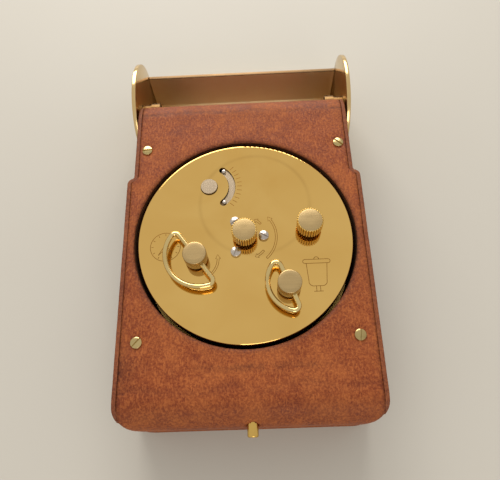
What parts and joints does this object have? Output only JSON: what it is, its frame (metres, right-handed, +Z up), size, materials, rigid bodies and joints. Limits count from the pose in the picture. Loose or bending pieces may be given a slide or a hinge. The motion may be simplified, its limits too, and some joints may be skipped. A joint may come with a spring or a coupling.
{
  "type": "folding travel alarm clock",
  "caption": "Leather-covered folding travel alarm clock, closed on its cover, with round brass back cap, bail winding keys, setting knobs and brass hinge bracket.",
  "frame": {"origin": "on the table under the centre of the round back cap, with the clock closed and lying on its cover", "axes": "+X across the clock, +Y from the push button towards the hinge bracket, +Z up out of the back cap"},
  "size_m": [0.072, 0.127, 0.0356],
  "materials": {
    "cover_board": "fibre board core of the cover",
    "leather": "worn tan pigskin, waxed",
    "leather_edge": "darker worn leather strip",
    "lining": "dark red plush pad",
    "brass_polished": "polished and lacquered",
    "brass_brushed": "brushed",
    "case_wood": "beech core",
    "movement_brass": "grained, lacquered",
    "steel": "polished steel",
    "crystal": "clear mineral glass",
    "dial_paint": "cream dial",
    "dial_ring": "silvered ring",
    "hand_black": "black lacquered",
    "hand_red": "red lacquered"
  },
  "bodies": {
    "cover": {"cover_core": "cover_board", "cover_leather": "leather", "cover_lining": "lining", "hinge_cheek_left": "brass_polished", "hinge_cheek_right": "brass_polished", "hinge_end_plate": "brass_brushed", "hinge_pins": "brass_brushed", "cheek_rivets": "brass_brushed", "catch_plate": "brass_brushed"},
    "case": {"case_core": "case_wood", "case_leather_back": "leather", "case_leather_sides": "leather_edge", "case_leather_front": "leather", "hinge_lugs": "brass_brushed", "case_screws": "brass_polished", "back_cap": "brass_polished", "cap_screws": "steel", "bezel": "brass_polished", "crystal": "crystal", "dial_ring": "dial_ring", "dial": "dial_paint", "front_plate": "movement_brass", "back_plate": "movement_brass", "pillars": "movement_brass", "movement_screws": "steel", "balance_cock": "steel"},
    "hand_setting": {"set_knob": "brass_polished", "centre_arbor": "steel", "cannon_pinion": "steel", "minute_hand": "hand_black"},
    "minute_wheel": {"minute_wheel": "movement_brass"},
    "hour": {"hour_wheel": "movement_brass", "hour_hand": "hand_black"},
    "alarm_setting": {"alarm_knob": "brass_polished", "alarm_set_arbor": "steel"},
    "alarm_pointer": {"alarm_wheel": "movement_brass", "alarm_hand": "hand_red"},
    "time_winding": {"time_key": "brass_polished", "time_arbor": "steel", "time_ratchet": "steel"},
    "time_bail": {"time_bail": "brass_polished"},
    "alarm_winding": {"alarm_key": "brass_polished", "alarm_arbor": "steel", "alarm_ratchet": "steel"},
    "alarm_bail": {"alarm_bail": "brass_polished"},
    "time_click": {"time_click": "steel"},
    "alarm_click": {"alarm_click": "steel"},
    "time_barrel": {"time_barrel": "movement_brass"},
    "alarm_barrel": {"alarm_barrel": "movement_brass"},
    "centre_wheel": {"centre_wheel": "movement_brass"},
    "third_wheel": {"third_wheel": "movement_brass"},
    "fourth_wheel": {"fourth_wheel": "movement_brass"},
    "escape_wheel": {"escape_wheel": "movement_brass"},
    "pallet_lever": {"pallet_lever": "steel"},
    "balance": {"balance_wheel": "movement_brass", "hairspring": "steel"},
    "regulator": {"regulator_index": "steel"},
    "alarm_hammer": {"alarm_hammer": "steel"},
    "push_button": {"push_button": "brass_polished", "button_spring": "steel"}
  },
  "joints": [
    {"name": "case_hinge", "type": "hinge", "parent": "cover", "child": "case", "pos_m": [0, 0.056, 0.017], "axis": [-1, 0, 0], "range_deg": [0, 105]},
    {"name": "hand_set", "type": "hinge", "parent": "case", "child": "hand_setting", "pos_m": [0, 0, 0.02], "axis": [0, 0, 1], "continuous": true},
    {"name": "minute_wheel_spin", "type": "hinge", "parent": "case", "child": "minute_wheel", "pos_m": [-0.00564, -0.00205, 0.011], "axis": [0, 0, 1], "continuous": true},
    {"name": "hour_spin", "type": "hinge", "parent": "case", "child": "hour", "pos_m": [0, 0, 0.011], "axis": [0, 0, 1], "continuous": true},
    {"name": "alarm_set", "type": "hinge", "parent": "case", "child": "alarm_setting", "pos_m": [0.0189, 0.0021, 0.02], "axis": [0, 0, 1], "continuous": true},
    {"name": "alarm_pointer_spin", "type": "hinge", "parent": "case", "child": "alarm_pointer", "pos_m": [0, 0, 0.0095], "axis": [0, 0, 1], "continuous": true},
    {"name": "time_wind", "type": "hinge", "parent": "case", "child": "time_winding", "pos_m": [-0.0141, -0.0065, 0.02], "axis": [0, 0, 1], "continuous": true},
    {"name": "time_bail_fold", "type": "hinge", "parent": "time_winding", "child": "time_bail", "pos_m": [-0.0141, -0.0065, 0.033], "axis": [-0.5878, 0.809, 0], "range_deg": [0, 180]},
    {"name": "alarm_wind", "type": "hinge", "parent": "case", "child": "alarm_winding", "pos_m": [0.012, -0.0158, 0.02], "axis": [0, 0, 1], "continuous": true},
    {"name": "alarm_bail_fold", "type": "hinge", "parent": "alarm_winding", "child": "alarm_bail", "pos_m": [0.012, -0.0158, 0.033], "axis": [-0.3584, 0.9336, 0], "range_deg": [0, 180]},
    {"name": "time_click_lift", "type": "hinge", "parent": "case", "child": "time_click", "pos_m": [-0.01559, 0.00197, 0.0265], "axis": [0, 0, 1], "range_deg": [0, 8], "stiffness_Nm_per_rad": 0.00001},
    {"name": "alarm_click_lift", "type": "hinge", "parent": "case", "child": "alarm_click", "pos_m": [0.00486, -0.0184, 0.0265], "axis": [0, 0, 1], "range_deg": [0, 8], "stiffness_Nm_per_rad": 0.00001},
    {"name": "third_spin", "type": "hinge", "parent": "case", "child": "third_wheel", "pos_m": [0.00078, 0.00897, 0.02], "axis": [0, 0, 1], "continuous": true},
    {"name": "time_barrel_spin", "type": "hinge", "parent": "case", "child": "time_barrel", "pos_m": [-0.0141, -0.0065, 0.02], "axis": [0, 0, 1], "continuous": true},
    {"name": "centre_spin", "type": "hinge", "parent": "case", "child": "centre_wheel", "pos_m": [0, 0, 0.02], "axis": [0, 0, 1], "continuous": true},
    {"name": "fourth_spin", "type": "hinge", "parent": "case", "child": "fourth_wheel", "pos_m": [0.00306, 0.01609, 0.02], "axis": [0, 0, 1], "continuous": true},
    {"name": "escape_spin", "type": "hinge", "parent": "case", "child": "escape_wheel", "pos_m": [-0.00242, 0.01994, 0.02], "axis": [0, 0, 1], "continuous": true},
    {"name": "pallet_rock", "type": "hinge", "parent": "case", "child": "pallet_lever", "pos_m": [-0.00552, 0.01881, 0.021], "axis": [0, 0, 1], "range_deg": [-5, 5]},
    {"name": "balance_swing", "type": "hinge", "parent": "case", "child": "balance", "pos_m": [-0.0105, 0.017, 0.019], "axis": [0, 0, 1], "range_deg": [-135, 135], "stiffness_Nm_per_rad": 0.0001},
    {"name": "regulate", "type": "hinge", "parent": "case", "child": "regulator", "pos_m": [-0.0105, 0.017, 0.028], "axis": [0, 0, 1], "range_deg": [-5, 5]},
    {"name": "alarm_barrel_spin", "type": "hinge", "parent": "case", "child": "alarm_barrel", "pos_m": [0.012, -0.0158, 0.02], "axis": [0, 0, 1], "continuous": true},
    {"name": "hammer_swing", "type": "hinge", "parent": "case", "child": "alarm_hammer", "pos_m": [0.02178, -0.00592, 0.023], "axis": [0, 0, 1], "range_deg": [-12, 0]},
    {"name": "button_press", "type": "slide", "parent": "case", "child": "push_button", "axis": [0, 1, 0], "range_m": [0, 0.001], "stiffness_N_per_m": 400, "deforming": ["button_spring"]}
  ],
  "couplings": [
    {"joint": "minute_wheel_spin", "follows": "hand_set", "ratio": -0.33333},
    {"joint": "hour_spin", "follows": "hand_set", "ratio": 0.083333},
    {"joint": "alarm_pointer_spin", "follows": "alarm_set", "ratio": -0.5},
    {"joint": "centre_spin", "follows": "third_spin", "ratio": -0.125},
    {"joint": "time_barrel_spin", "follows": "third_spin", "ratio": 0.020833},
    {"joint": "fourth_spin", "follows": "third_spin", "ratio": -7.5},
    {"joint": "escape_spin", "follows": "third_spin", "ratio": 64.286}
  ]
}
